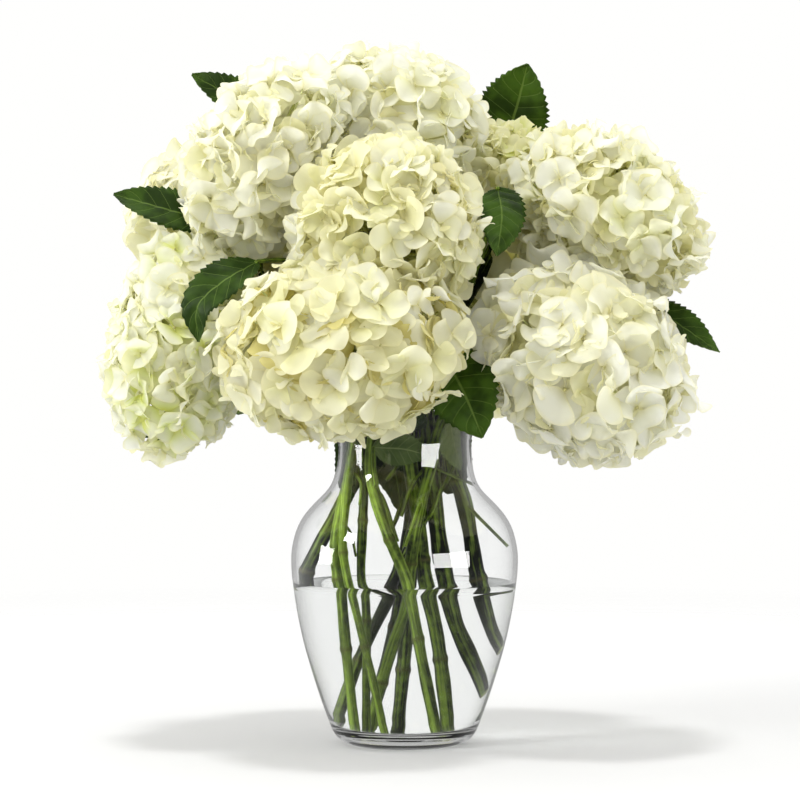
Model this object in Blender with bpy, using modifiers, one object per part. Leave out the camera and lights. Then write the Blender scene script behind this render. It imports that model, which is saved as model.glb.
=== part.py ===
"""A clear glass vase of cut white hydrangeas: vase, water, stems, leaves and flower heads, each a solid.

The scene is in metres with +Z up. The origin is the centre of the vase's flat foot, and -Y is the front of
the bouquet. The tables of sizes and places below are in millimetres, and mm() turns them into metres.
"""

import math
import random

import bmesh
import bpy
from mathutils import Matrix, Vector, geometry

COLLECTION = "vase_of_hydrangeas"
MM = 0.001  # one millimetre in metres
GAP = 0.3  # kept between neighbouring solids
MERGE = 0.00001  # metres

# Vase: a pressed glass urn 200 mm high. Its side runs from the rim down to the foot as (height, radius).
VASE_WALL = 2.6
VASE_FLOOR = 8.0
FLOOR_CORNER = ((1.2, 2.4), (0.0, 6.4))  # the inner floor's corner: (above the floor, in from the wall)
VASE_STEPS = 32
VASE_SIDE = (
    (200, 46.0), (194, 43.0), (185, 40.2), (174, 38.4), (163, 38.4), (153, 39.8), (145, 43.4), (136, 52.0),
    (129, 57.8), (121, 61.8), (110, 64.3), (99, 64.4), (88, 63.2), (74, 61.0), (58, 57.6), (43, 53.4),
    (28, 48.6), (14, 43.6), (8, 41.2), (4, 38.6), (1.5, 35.2), (0, 31.0),
)
INNER_SIDE_END = 14  # the inner wall follows the outer one down to this height
WATER_LEVEL = 92.0

# Flower heads: centre, radii, roll in degrees (the right side up), the point near the vase's mouth that
# the stem comes from, and how many florets lie along a side of the cube that the head is spread from.
HEADS = {
    "center_low": ((-33, -82, 224), (72, 66, 52), 5, (-10, -25, 207), 4),
    "center_up": ((-10, -66, 288), (54, 58, 53), 0, (0, -5, 207), 4),
    "top_left": ((-80, -28, 330), (40, 54, 62), -35, (-24, -9, 195), 3),
    "top_center": ((-9, 18, 349), (57, 56, 53), -20, (0, 6, 195), 3),
    "right_up": ((116, -8, 300.5), (62, 60, 43.5), -38, (35, 25, 195), 3),
    "right_low": ((98, -42, 217), (66.5, 62, 54.5), -38, (31, -13, 207), 3),
    "left": ((-126, -8, 229), (42, 56, 70.5), -13, (-39, -3, 190), 3),
    "left_back": ((-119, 38, 301), (44, 46, 46), 0, (-36, 10, 195), 3),
    "back_right_small": ((62, 45, 315), (44, 44, 44), 0, (19, 13, 195), 3),
    "back_left": ((-66, 76, 244), (62, 60, 58), 0, (-18, 27, 195), 3),
    "back_right": ((60, 82, 250), (60, 60, 60), 0, (16, 28, 195), 3),
    "back_middle": ((-4, 78, 318), (54, 54, 52), 0, (0, 22, 195), 3),
}
BASE_SHARE = 0.62  # each head is flat underneath, this share of its mean radius from its centre
FLORET_DEPTH = 9.0  # how deep the deepest dips between florets are
SHALLOWEST_DIP = 0.7  # and the shallowest ones, as a share of that
MOUTH_CLEARANCE = 47.5  # heads keep this far from the vase's axis below the rim's height

# Stems: radius, then the centre line from the cut foot to where it leaves the vase. Heads end the lines.
STEMS = {
    "center_low": (3.2, ((17, -27, 0), (9, -27, 50), (3.2, -27, 84), (-0.5, -27, 99), (-10, -26, 122),
                         (-17, -23, 144), (-19, -20, 160), (-17, -22, 178), (-13, -31, 196))),
    "center_up": (4.0, ((21, -11, 0), (15.5, -13, 60), (11, -13, 86), (11, -13, 98), (8, -12, 126),
                        (3, -13, 162), (1, -15, 200), (-1, -22, 232))),
    "top_left": (2.2, ((-10, -29, 0), (-17, -35, 45), (-24.5, -36, 80), (-26.5, -36, 87.5),
                       (-30, -36, 92.5), (-32, -35, 99), (-34, -32, 120), (-30, -12, 160),
                       (-27, -16, 182), (-25, -15, 198), (-28, -14, 225), (-42, -17, 255))),
    "top_center": (4.6, ((41.5, -9, 31), (26, -8.5, 64), (21, -8, 80), (20, -8, 87.5), (23, -8, 92.5),
                         (22, -8, 99), (19, -8, 118), (14, -8, 162), (11, -4, 200), (4, 5, 250),
                         (0, 12, 285))),
    "right_up": (4.4, ((46, 7, 55), (38, 6, 80), (37, 6, 87.5), (40.5, 5, 92.5), (40, 5, 99), (35, 3, 133),
                       (27, -1, 162), (30, 2, 195), (44, 11, 222), (64, 15, 245))),
    "right_low": (3.1, ((-16.5, -4, 0), (-8, -9, 50), (1, -13, 84), (3.5, -17.5, 104), (7, -23, 126),
                        (15, -21, 162), (21, -17, 184), (36, -18, 205))),
    "left": (3.1, ((-25, -19, 0), (-29.5, -28, 62), (-31, -28.5, 80), (-31.5, -29, 87.5), (-36, -29, 92.5),
                   (-37, -29, 99), (-38, -26, 116), (-30, -1, 160), (-31, 1, 186), (-44, 0, 210))),
    "left_back": (2.4, ((-18.5, -15, 0), (-18, -18, 80), (-19, -18, 87.5), (-23, -18, 92.5),
                        (-24.5, -17.5, 99), (-23, -6.5, 160), (-29, -7, 190), (-38, -2, 215),
                        (-58, 10, 238))),
    "back_right_small": (3.8, ((-3, 8, 0), (4, 6.5, 100), (9, 5, 162), (14, 10, 200), (26, 20, 235),
                               (38, 28, 258))),
    "back_left": (4.0, ((-54.5, -4, 86), (-55, -4, 98), (-49, -3, 112), (-38, 3, 132), (-23, 12, 160),
                        (-20, 18, 190), (-27, 36, 210))),
    "back_right": (3.2, ((-29, 12, 0), (-18, 15, 52), (-4, 15.5, 92), (8, 15, 122), (21, 11, 162),
                         (22, 14, 185), (27, 33, 206))),
    "back_middle": (3.4, ((-14, 26, 0), (-2, 25, 84), (6, 20, 162), (4, 24, 200), (2, 36, 235),
                          (0, 48, 260))),
}
STEM_STATION = 16.0  # distance between rings along a stem
STEM_APPROACH = 14.0  # the last stretch into a head is straight
STANDS_BELOW = 25.0  # a stem whose first point is below this height stands on the vase's floor
FOOT_GAP = 0.5  # a stem's cut end leans, and its lowest edge keeps this far from the floor
TUNNEL_GAP = 0.35  # between a stem and the water round it
TUNNEL_ABOVE = 32.0  # a tunnel runs on past the water's surface
TUNNEL_BELOW = 12.0  # and below the floor of the vase, for a stem that stands on it
TUNNEL_END = 0.6  # it ends this far below a stem whose foot hangs in the water

# Leaves: the stem that carries each, the height where its stalk leaves that stem, the stalk's points, the
# blade's points from base to tip, the blade's half width, and the way its upper side faces.
LEAVES = {
    "top_right": ("back_right_small", 268, ((50, 66, 300), (56, 88, 330)),
                  ((60.5, 86, 352), (67, 76, 370), (73, 60, 394.7)), 22, (-0.1, -1, 0.3)),
    "top_left": ("left_back", 262, ((-84, 30, 300), (-76, 28, 338)),
                 ((-74, 16, 354), (-95, 4, 367), (-121, -4, 380.5)), 14, (-0.1, -0.85, 0.5)),
    "left": ("left_back", 250, ((-90, 4, 280),),
             ((-108, -8, 296), (-132, -16, 302.5), (-164, -18, 311.5)), 14.5, (-0.1, -0.8, 0.6)),
    "mid_left": ("top_left", 262, ((-62, -45, 272),),
                 ((-80, -68, 271), (-98, -77, 260), (-112, -79, 246), (-112, -74, 227)), 13,
                 (-0.35, -0.85, 0.4)),
    "center_right": ("back_right_small", 262, ((48, 8, 292), (54, -10, 312)),
                     ((52, -28, 314), (54, -40, 298), (51, -48, 275)), 13, (0.1, -1, 0.1)),
    "right": ("right_up", 262, ((100, 8, 259),),
              ((131, -4, 253), (151, -18, 240.5), (169, -26, 227.5), (176.5, -28, 222.5)), 12,
              (0.3, -0.8, 0.5)),
    "low_center": ("right_low", 204, ((27, -36, 216),),
                   ((22, -50, 220), (33, -62, 198), (42.5, -67, 175)), 21, (-0.25, -0.9, 0.3)),
    "left_low": ("left", 211, ((-74, 16, 196),),
                 ((-110, 20, 186), (-138, 18, 182), (-160, 12, 178)), 13, (0, -0.7, -0.7)),
    "neck_front": ("center_low", 146, ((-17, -28, 158),),
                   ((-17, -28.5, 169), (0, -33, 168), (14, -29.5, 164)), 10, (0, 1, 0)),
    "neck_right": ("right_up", 190, ((32, -9, 187),),
                   ((24, -25.5, 184), (26.6, -21.5, 170), (30.6, -15.5, 156)), 10, (-0.8, 0.6, 0)),
    "back_left": ("back_left", 214, ((-46, 60, 212),),
                  ((-68, 84, 200), (-87, 105, 196), (-103, 123, 187)), 22, (-0.3, 0.3, 0.9)),
    "back_right": ("right_up", 250, ((86, 40, 262),),
                   ((100, 62, 280), (116, 80, 288), (130, 94, 284)), 20, (0.2, 0.3, 0.9)),
    "back_low": ("back_right", 212, ((22, 58, 216),),
                 ((6, 78, 206), (-3, 96, 192), (-6, 108, 170)), 22, (0, 0.9, 0.4)),
}
LEAF_THICKNESS = 1.2
LEAF_CLEARANCE = 1.2  # between a leaf's middle surface and the flower heads it touches
STALK_HALF_WIDTH = 1.4
STALK_GAP = 0.6  # from the stem's side to the stalk's flat end
STALK_ROOT = 2.5  # the stalk's first stretch, straight out of the stem
STALK_STATION = 10.0
BLADE_STATION = 4.5
BLADE_FOLD = 0.25  # the blade's halves rise this share of their width from the midrib
TOOTH = 0.1  # depth of the teeth along the edge, as a share of the half width
WIDEST = 0.4  # the blade is widest this share of the way to its tip
ROUNDNESS = 0.6  # how soon the blade reaches its width: 1 is a straight taper, less is rounder

COLORS = {
    "glass": ((0.90, 0.93, 0.93, 1.0), 0.03),
    "water": ((0.85, 0.92, 0.90, 1.0), 0.02),
    "stem": ((0.16, 0.27, 0.05, 1.0), 0.45),
    "leaf": ((0.045, 0.09, 0.014, 1.0), 0.5),
    "petal_cream": ((0.84, 0.82, 0.60, 1.0), 0.55),
    "petal_white": ((0.90, 0.90, 0.80, 1.0), 0.55),
    "petal_lime": ((0.74, 0.80, 0.42, 1.0), 0.55),
}
HEAD_COLORS = {
    "left": "petal_lime",
    "back_right_small": "petal_lime",
    "right_low": "petal_white",
    "top_left": "petal_white",
    "left_back": "petal_white",
}


def mm(values):
    """A point in millimetres as a vector in metres."""
    return Vector(values) * MM


def clear_scene():
    for item in list(bpy.data.objects):
        bpy.data.objects.remove(item)


def new_collection(name):
    collection = bpy.data.collections.new(name)
    bpy.context.scene.collection.children.link(collection)
    return collection


def new_material(name):
    color, roughness = COLORS[name]
    material = bpy.data.materials.new(name)
    material.use_nodes = True
    shader = material.node_tree.nodes["Principled BSDF"]
    shader.inputs["Base Color"].default_value = color
    shader.inputs["Roughness"].default_value = roughness
    shader.inputs["Metallic"].default_value = 0.0
    if name in ("glass", "water"):
        shader.inputs["Transmission Weight"].default_value = 0.9
    return material


def add_object(name, data, collection, material=None):
    item = bpy.data.objects.new(name, data)
    if material:
        data.materials.append(material)
    collection.objects.link(item)
    return item


def smooth_line(points, spacing):
    """Points about this far apart on a smooth curve through the given points."""
    ends = [2 * points[0] - points[1]] + list(points) + [2 * points[-1] - points[-2]]
    line = [points[0]]
    for before, start, end, after in zip(ends, ends[1:], ends[2:], ends[3:]):
        count = max(1, round((end - start).length / spacing))
        for step in range(1, count + 1):
            t = step / count
            line.append(
                0.5
                * (
                    2 * start
                    + (end - before) * t
                    + (2 * before - 5 * start + 4 * end - after) * t**2
                    + (3 * start - before - 3 * end + after) * t**3
                )
            )
    return line


# Vase and water


def inner_side(thickness, floor):
    """The vase's inner side, this far inside the outer one, from the rim down to a flat floor."""
    rim_height, rim_radius = VASE_SIDE[0]
    side = [(rim_height, rim_radius - thickness)]
    for above, here, below in zip(VASE_SIDE, VASE_SIDE[1:], VASE_SIDE[2:]):
        slope = Vector((below[0] - above[0], below[1] - above[1])).normalized()
        if here[0] >= INNER_SIDE_END:
            side.append((here[0] - thickness * slope.y, here[1] + thickness * slope.x))
    wall = side[-1][1]
    side += [(floor + above_floor, wall - inwards) for above_floor, inwards in FLOOR_CORNER]
    return side


def radius_at(side, height):
    for (high, outer), (low, inner) in zip(side, side[1:]):
        if low <= height <= high:
            return inner + (outer - inner) * (height - low) / (high - low)
    return side[-1][1]


def turned(name, profile, collection, material):
    """A solid of revolution from (height, radius) points that start and end on the axis."""
    mesh = bpy.data.meshes.new(name)
    points = [mm((radius, 0, height)) for height, radius in profile]
    mesh.from_pydata(points, [(i, i + 1) for i in range(len(points) - 1)], [])
    solid = add_object(name, mesh, collection, material)
    turn = solid.modifiers.new("turn", "SCREW")
    turn.steps = turn.render_steps = VASE_STEPS
    turn.use_merge_vertices = True
    turn.merge_threshold = MERGE
    turn.use_smooth_shade = True
    return solid


def make_vase(collection, material):
    inside = list(reversed(inner_side(VASE_WALL, VASE_FLOOR)))
    profile = [(VASE_FLOOR, 0)] + inside + list(VASE_SIDE) + [(0, 0)]
    return turned("vase", profile, collection, material)


def make_water(collection, material, tunnels):
    """The water fills the vase to its level and leaves a tunnel round each stem."""
    side = inner_side(VASE_WALL + GAP, VASE_FLOOR + GAP)
    profile = [(WATER_LEVEL, 0), (WATER_LEVEL, radius_at(side, WATER_LEVEL))]
    profile += [(height, radius) for height, radius in side if height < WATER_LEVEL]
    profile.append((VASE_FLOOR + GAP, 0))
    water = turned("water", profile, collection, material)
    for tunnel in tunnels:
        cut = water.modifiers.new(tunnel.name, "BOOLEAN")
        cut.operation = "DIFFERENCE"
        cut.solver = "EXACT"
        cut.object = tunnel
    return water


# Flower heads


def base_direction(head):
    """The unit vector from a head's centre to where its stem comes in."""
    centre, _, _, source, _ = HEADS[head]
    return (Vector(source) - Vector(centre)).normalized()


def mean_radius(head):
    return sum(HEADS[head][1]) / 3


def reach(head, direction):
    """The head's smooth radius along a direction."""
    _, radii, roll, _, _ = HEADS[head]
    own = Matrix.Rotation(math.radians(roll), 3, "Y") @ direction
    return 1 / math.sqrt(sum((d / r) ** 2 for d, r in zip(own, radii)))


def closest_point(point, start, end):
    """The point of a straight stretch that lies nearest to the given point."""
    nearest, share = geometry.intersect_point_line(point, start, end)
    if share <= 0:
        return start
    return end if share >= 1 else nearest


def keep_outs(head):
    """Stretches of stems and leaves that this head's solid stays clear of, as (start, end, clearance)."""
    stretches = []
    for other, (radius, _) in STEMS.items():
        line = stem_line(other)
        if other != head:
            stretches += [(a, b, radius + GAP) for a, b in zip(line, line[1:])]
    for leaf in LEAVES:
        stations = leaf_stations(leaf)
        for station, following in zip(stations, stations[1:]):
            stretches += [(a, b, LEAF_CLEARANCE) for a, b in zip(station, following)]
            stretches += [(a, b, LEAF_CLEARANCE) for a, b in zip(station, station[1:])]
    return stretches


def cut_planes(head):
    """Flat cuts as (normal, distance from the head's centre): its base, and what it presses against."""
    centre = Vector(HEADS[head][0])
    planes = [(base_direction(head), BASE_SHARE * mean_radius(head))]
    for other in HEADS:
        if other == head:
            continue
        between = Vector(HEADS[other][0]) - centre
        normal = between.normalized()
        own, theirs = reach(head, normal), reach(other, normal)
        if own + theirs > between.length:
            distance = (between.length**2 + own**2 - theirs**2) / (2 * between.length)
            planes.append((normal, distance - GAP / 2))
    to_axis = Vector((-centre.x, -centre.y, 0))
    to_mouth = to_axis.length - MOUTH_CLEARANCE
    if to_mouth < reach(head, to_axis.normalized()) and centre.z - HEADS[head][1][2] < VASE_SIDE[0][0]:
        planes.append((to_axis.normalized(), to_mouth))
    for start, end, clearance in keep_outs(head):
        between = closest_point(centre, start, end) - centre
        distance = between.length - clearance
        if distance < reach(head, between.normalized()):
            planes.append((between.normalized(), distance))
    return planes


def make_head(head, collection, material):
    """A lumpy ball: a sphere of square florets, raised in their middles, cut flat where it meets others."""
    centre, _, _, _, florets = HEADS[head]
    rng = random.Random(head)
    turn = Matrix.Rotation(rng.uniform(0, math.tau), 3, Vector([rng.gauss(0, 1) for _ in range(3)]))
    planes = cut_planes(head)
    ball = bmesh.new()
    bmesh.ops.create_cube(ball, size=2)
    bmesh.ops.subdivide_edges(ball, edges=ball.edges[:], cuts=2 * florets - 1, use_grid_fill=True)
    for vertex in ball.verts:
        lines = [round((c + 1) * florets) for c in vertex.co]
        crevices = sum(line % 2 == 0 for line in lines) - 1
        spread = Vector([math.tan(c * math.pi / 4) for c in vertex.co])
        direction = (turn @ spread).normalized()
        dip = FLORET_DEPTH * crevices / 2 * rng.uniform(SHALLOWEST_DIP, 1)
        radius = reach(head, direction) - dip
        for normal, distance in planes:
            along = direction.dot(normal)
            if along * radius > distance:
                radius = distance / along
        vertex.co = mm(direction * radius)
    mesh = bpy.data.meshes.new("flower_head_" + head)
    ball.to_mesh(mesh)
    ball.free()
    mesh.shade_smooth()
    flower = add_object("flower_head_" + head, mesh, collection, material)
    flower.location = mm(centre)
    return flower


# Stems


def stem_line(head):
    """A stem's centre line from its cut foot to the flat base of its head."""
    radius, points = STEMS[head]
    points = [Vector(point) for point in points]
    if points[0].z < STANDS_BELOW:
        lean = (points[1] - points[0]).normalized()
        points[0].z = VASE_FLOOR + FOOT_GAP + radius * math.sqrt(1 - lean.z**2)
    centre, into = Vector(HEADS[head][0]), base_direction(head)
    top = BASE_SHARE * mean_radius(head) + GAP
    points += [centre + into * (top + STEM_APPROACH), centre + into * top]
    return smooth_line(points, STEM_STATION)


def tube(name, line, radius, collection, material=None):
    """A round rod with flat ends along a line of points."""
    curve = bpy.data.curves.new(name, "CURVE")
    curve.dimensions = "3D"
    curve.bevel_depth = radius * MM
    curve.bevel_resolution = 2
    curve.use_fill_caps = True
    spline = curve.splines.new("POLY")
    spline.points.add(len(line) - 1)
    for point, place in zip(spline.points, line):
        point.co = (*mm(place), 1)
    return add_object(name, curve, collection, material)


def make_tunnel(head, collection):
    """The cutter that clears a stem's way through the water, as a closed mesh."""
    radius, _ = STEMS[head]
    line = [point for point in stem_line(head) if point.z < WATER_LEVEL + TUNNEL_ABOVE]
    down = (line[0] - line[1]).normalized()
    stands = line[0].z < STANDS_BELOW
    line[0] = line[0] + down * (TUNNEL_BELOW if stands else TUNNEL_END)
    rod = tube("rod", line, radius + TUNNEL_GAP, collection)
    bpy.context.view_layer.update()
    mesh = bpy.data.meshes.new_from_object(rod.evaluated_get(bpy.context.evaluated_depsgraph_get()))
    welded = bmesh.new()
    welded.from_mesh(mesh)
    bmesh.ops.remove_doubles(welded, verts=welded.verts[:], dist=MERGE)
    welded.to_mesh(mesh)
    welded.free()
    tunnel = add_object("tunnel_" + head, mesh, collection)
    tunnel.matrix_world = rod.matrix_world
    tunnel.hide_render = True
    tunnel.display_type = "WIRE"
    bpy.data.objects.remove(rod)
    return tunnel


# Leaves


def stalk_root(carrier, height, towards):
    """The first two points of a stalk, straight out of its stem's side at this height."""
    line = stem_line(carrier)
    for low, high in zip(line, line[1:]):
        if low.z <= height <= high.z:
            joint = low.lerp(high, (height - low.z) / (high.z - low.z))
            along = (high - low).normalized()
            out = towards - joint
            out = (out - along * out.dot(along)).normalized()
            end = joint + out * (STEMS[carrier][0] + STALK_GAP)
            return [end, end + out * STALK_ROOT]
    raise ValueError(f"stem {carrier} doesn't pass the height {height}")


def blade_width(share):
    """The blade's half width as a share of its widest, at a share of the way from its base to its tip."""
    fall = ROUNDNESS * (1 - WIDEST) / WIDEST
    return (share / WIDEST) ** ROUNDNESS * ((1 - share) / (1 - WIDEST)) ** fall


def leaf_stations(leaf):
    """The leaf's cross-sections from its stalk to its tip, each as left edge, midrib and right edge."""
    carrier, height, stalk, blade, half_width, facing = LEAVES[leaf]
    stalk = [Vector(point) for point in stalk]
    blade = [Vector(point) for point in blade]
    root = stalk_root(carrier, height, stalk[0])
    stem_part = smooth_line(root + stalk + blade[:1], STALK_STATION)
    blade_part = smooth_line(blade, BLADE_STATION)
    line = stem_part + blade_part[1:]
    stations = []
    for i, point in enumerate(line):
        along = (line[min(i + 1, len(line) - 1)] - line[max(i - 1, 0)]).normalized()
        side = along.cross(Vector(facing)).normalized()
        up = side.cross(along)
        width, rise = STALK_HALF_WIDTH, 0
        on_blade = i - len(stem_part) + 1
        if on_blade > 0:
            tooth = 1 + TOOTH * (-1) ** on_blade / 2
            share = on_blade / (len(blade_part) - 1)
            width = max(STALK_HALF_WIDTH / 2, half_width * tooth * blade_width(share))
            rise = BLADE_FOLD * width
        stations.append((point - side * width + up * rise, point, point + side * width + up * rise))
    return stations


def make_leaf(leaf, collection, material):
    """A thin blade folded along its midrib, with its stalk, as one sheet made solid."""
    stations = leaf_stations(leaf)
    sheet = bmesh.new()
    rows = [[sheet.verts.new(mm(point)) for point in station] for station in stations]
    for row, following in zip(rows, rows[1:]):
        for i in range(len(row) - 1):
            sheet.faces.new((row[i], row[i + 1], following[i + 1], following[i]))
    mesh = bpy.data.meshes.new("leaf_" + leaf)
    sheet.to_mesh(mesh)
    sheet.free()
    blade = add_object("leaf_" + leaf, mesh, collection, material)
    thickness = blade.modifiers.new("thickness", "SOLIDIFY")
    thickness.thickness = LEAF_THICKNESS * MM
    thickness.offset = 0
    thickness.use_even_offset = True
    return blade


def main():
    clear_scene()
    parts = new_collection(COLLECTION)
    cutters = new_collection("cutters")
    materials = {name: new_material(name) for name in COLORS}
    make_vase(parts, materials["glass"])
    make_water(parts, materials["water"], [make_tunnel(head, cutters) for head in STEMS])
    for head in HEADS:
        tube("stem_" + head, stem_line(head), STEMS[head][0], parts, materials["stem"])
        make_head(head, parts, materials[HEAD_COLORS.get(head, "petal_cream")])
    for leaf in LEAVES:
        make_leaf(leaf, parts, materials["leaf"])


main()
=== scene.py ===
"""The looks of the vase of hydrangeas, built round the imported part.

Every flower head is a crowd of florets on thin stalks, most with four petals. The leaves are veined and
toothed, the stems have joints and shoots, and the vase and its water are clear. Tables are in millimetres
up to the studio, +Z up, and -Y is the front. The heads, the leaves and the vase's side are those of the
part's own source.
"""
import math

import bpy
import numpy as np
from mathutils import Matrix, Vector


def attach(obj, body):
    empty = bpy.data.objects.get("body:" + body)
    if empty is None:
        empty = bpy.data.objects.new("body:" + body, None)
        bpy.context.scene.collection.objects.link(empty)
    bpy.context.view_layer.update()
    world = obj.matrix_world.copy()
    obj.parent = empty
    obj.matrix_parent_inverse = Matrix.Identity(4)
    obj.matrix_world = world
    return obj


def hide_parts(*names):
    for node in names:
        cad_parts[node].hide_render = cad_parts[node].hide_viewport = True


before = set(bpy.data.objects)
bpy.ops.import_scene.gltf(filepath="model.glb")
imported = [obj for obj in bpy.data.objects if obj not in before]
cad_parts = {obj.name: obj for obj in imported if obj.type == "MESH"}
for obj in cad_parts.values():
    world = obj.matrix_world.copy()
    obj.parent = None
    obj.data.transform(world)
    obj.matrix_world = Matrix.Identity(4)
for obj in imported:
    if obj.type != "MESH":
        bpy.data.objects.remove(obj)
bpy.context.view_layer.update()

MM = 0.001
BODY = "root"

# Flower heads: centre, radii, roll in degrees (the right side up) and the point near the vase's mouth that
# the stem comes from.
HEADS = {
    "center_low": ((-33, -82, 224), (72, 66, 52), 5, (-10, -25, 207)),
    "center_up": ((-10, -66, 288), (54, 58, 53), 0, (0, -5, 207)),
    "top_left": ((-80, -28, 330), (40, 54, 62), -35, (-24, -9, 195)),
    "top_center": ((-9, 18, 349), (57, 56, 53), -20, (0, 6, 195)),
    "right_up": ((116, -8, 300.5), (62, 60, 43.5), -38, (35, 25, 195)),
    "right_low": ((98, -42, 217), (66.5, 62, 54.5), -38, (31, -13, 207)),
    "left": ((-126, -8, 229), (42, 56, 70.5), -13, (-39, -3, 190)),
    "left_back": ((-119, 38, 301), (44, 46, 46), 0, (-36, 10, 195)),
    "back_right_small": ((62, 45, 315), (44, 44, 44), 0, (19, 13, 195)),
    "back_left": ((-66, 76, 244), (62, 60, 58), 0, (-18, 27, 195)),
    "back_right": ((60, 82, 250), (60, 60, 60), 0, (16, 28, 195)),
    "back_middle": ((-4, 78, 318), (54, 54, 52), 0, (0, 22, 195)),
}
BASE_SHARE = 0.62  # a head's underside, this share of its mean radius from its centre

# How the florets of each head look. petal: length in mm; crowd: how many times over the florets would cover
# their head if they lay flat; tilt: how far florets lean, in radians; wide: a petal's width for its length;
# lift, curl, ruffle and fold: the petals' rise, hollow, wave and crease, as shares of their length; tone:
# from white, 0, to cream, 1; lime: green-yellow in the florets' middles; fine: points along a petal's side;
# and the last key, how dark the inner florets are painted: painted shade inside the head.
STYLES = {
    "center_low": dict(
        petal=14.0, crowd=1.9, tilt=0.34, wide=1.3, lift=0.1, curl=0.18, ruffle=0.05, fold=0.0,
        tone=0.75, lime=0.25, fine=9, deep=1.0),
    "center_up": dict(
        petal=12.0, crowd=2.1, tilt=0.5, wide=1.22, lift=0.28, curl=0.26, ruffle=0.05, fold=0.05,
        tone=0.7, lime=0.3, fine=8, deep=0.45),
    "top_left": dict(
        petal=15.5, crowd=2.2, tilt=0.5, wide=1.28, lift=0.25, curl=0.22, ruffle=0.13, fold=0.1,
        tone=0.12, lime=0.22, fine=10, deep=0.08),
    "top_center": dict(
        petal=15.0, crowd=2.1, tilt=0.45, wide=1.25, lift=0.25, curl=0.22, ruffle=0.06, fold=0.05,
        tone=0.16, lime=0.35, fine=9, deep=0.25),
    "right_up": dict(
        petal=14.0, crowd=2.1, tilt=0.5, wide=1.24, lift=0.25, curl=0.2, ruffle=0.12, fold=0.05,
        tone=0.35, lime=0.45, fine=8, deep=0.25),
    "right_low": dict(
        petal=17.0, crowd=2.3, tilt=0.4, wide=1.34, lift=0.14, curl=0.16, ruffle=0.1, fold=0.05,
        tone=0.16, lime=0.15, fine=9, deep=0.08),
    "left": dict(
        petal=13.0, crowd=2.1, tilt=0.4, wide=1.25, lift=0.2, curl=0.22, ruffle=0.09, fold=0.05,
        tone=0.1, lime=1.15, fine=8, deep=0.0),
    "left_back": dict(
        petal=16.0, crowd=2.0, tilt=0.35, wide=1.3, lift=0.12, curl=0.18, ruffle=0.06, fold=0.0,
        tone=0.35, lime=0.3, fine=7, deep=0.25),
    "back_right_small": dict(
        petal=10.5, crowd=2.0, tilt=0.45, wide=1.2, lift=0.4, curl=0.3, ruffle=0.06, fold=0.05,
        tone=0.8, lime=0.9, fine=7, deep=0.25),
    "back_left": dict(
        petal=15.5, crowd=2.0, tilt=0.38, wide=1.3, lift=0.18, curl=0.2, ruffle=0.06, fold=0.0,
        tone=0.5, lime=0.4, fine=7, deep=0.25),
    "back_right": dict(
        petal=15.5, crowd=2.0, tilt=0.4, wide=1.3, lift=0.2, curl=0.2, ruffle=0.06, fold=0.0,
        tone=0.45, lime=0.35, fine=7, deep=0.25),
    "back_middle": dict(
        petal=14.5, crowd=2.0, tilt=0.42, wide=1.28, lift=0.22, curl=0.22, ruffle=0.06, fold=0.05,
        tone=0.5, lime=0.4, fine=7, deep=0.25),
}
PETAL_COUNTS = (4, 4, 4, 4, 4, 5, 3)  # a floret's number of petals is drawn from these
SLOTS = {  # the heads whose slot name isn't petal_cream
    "left": "petal_lime", "back_right_small": "petal_lime",
    "right_low": "petal_white", "top_left": "petal_white", "left_back": "petal_white",
}

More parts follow.
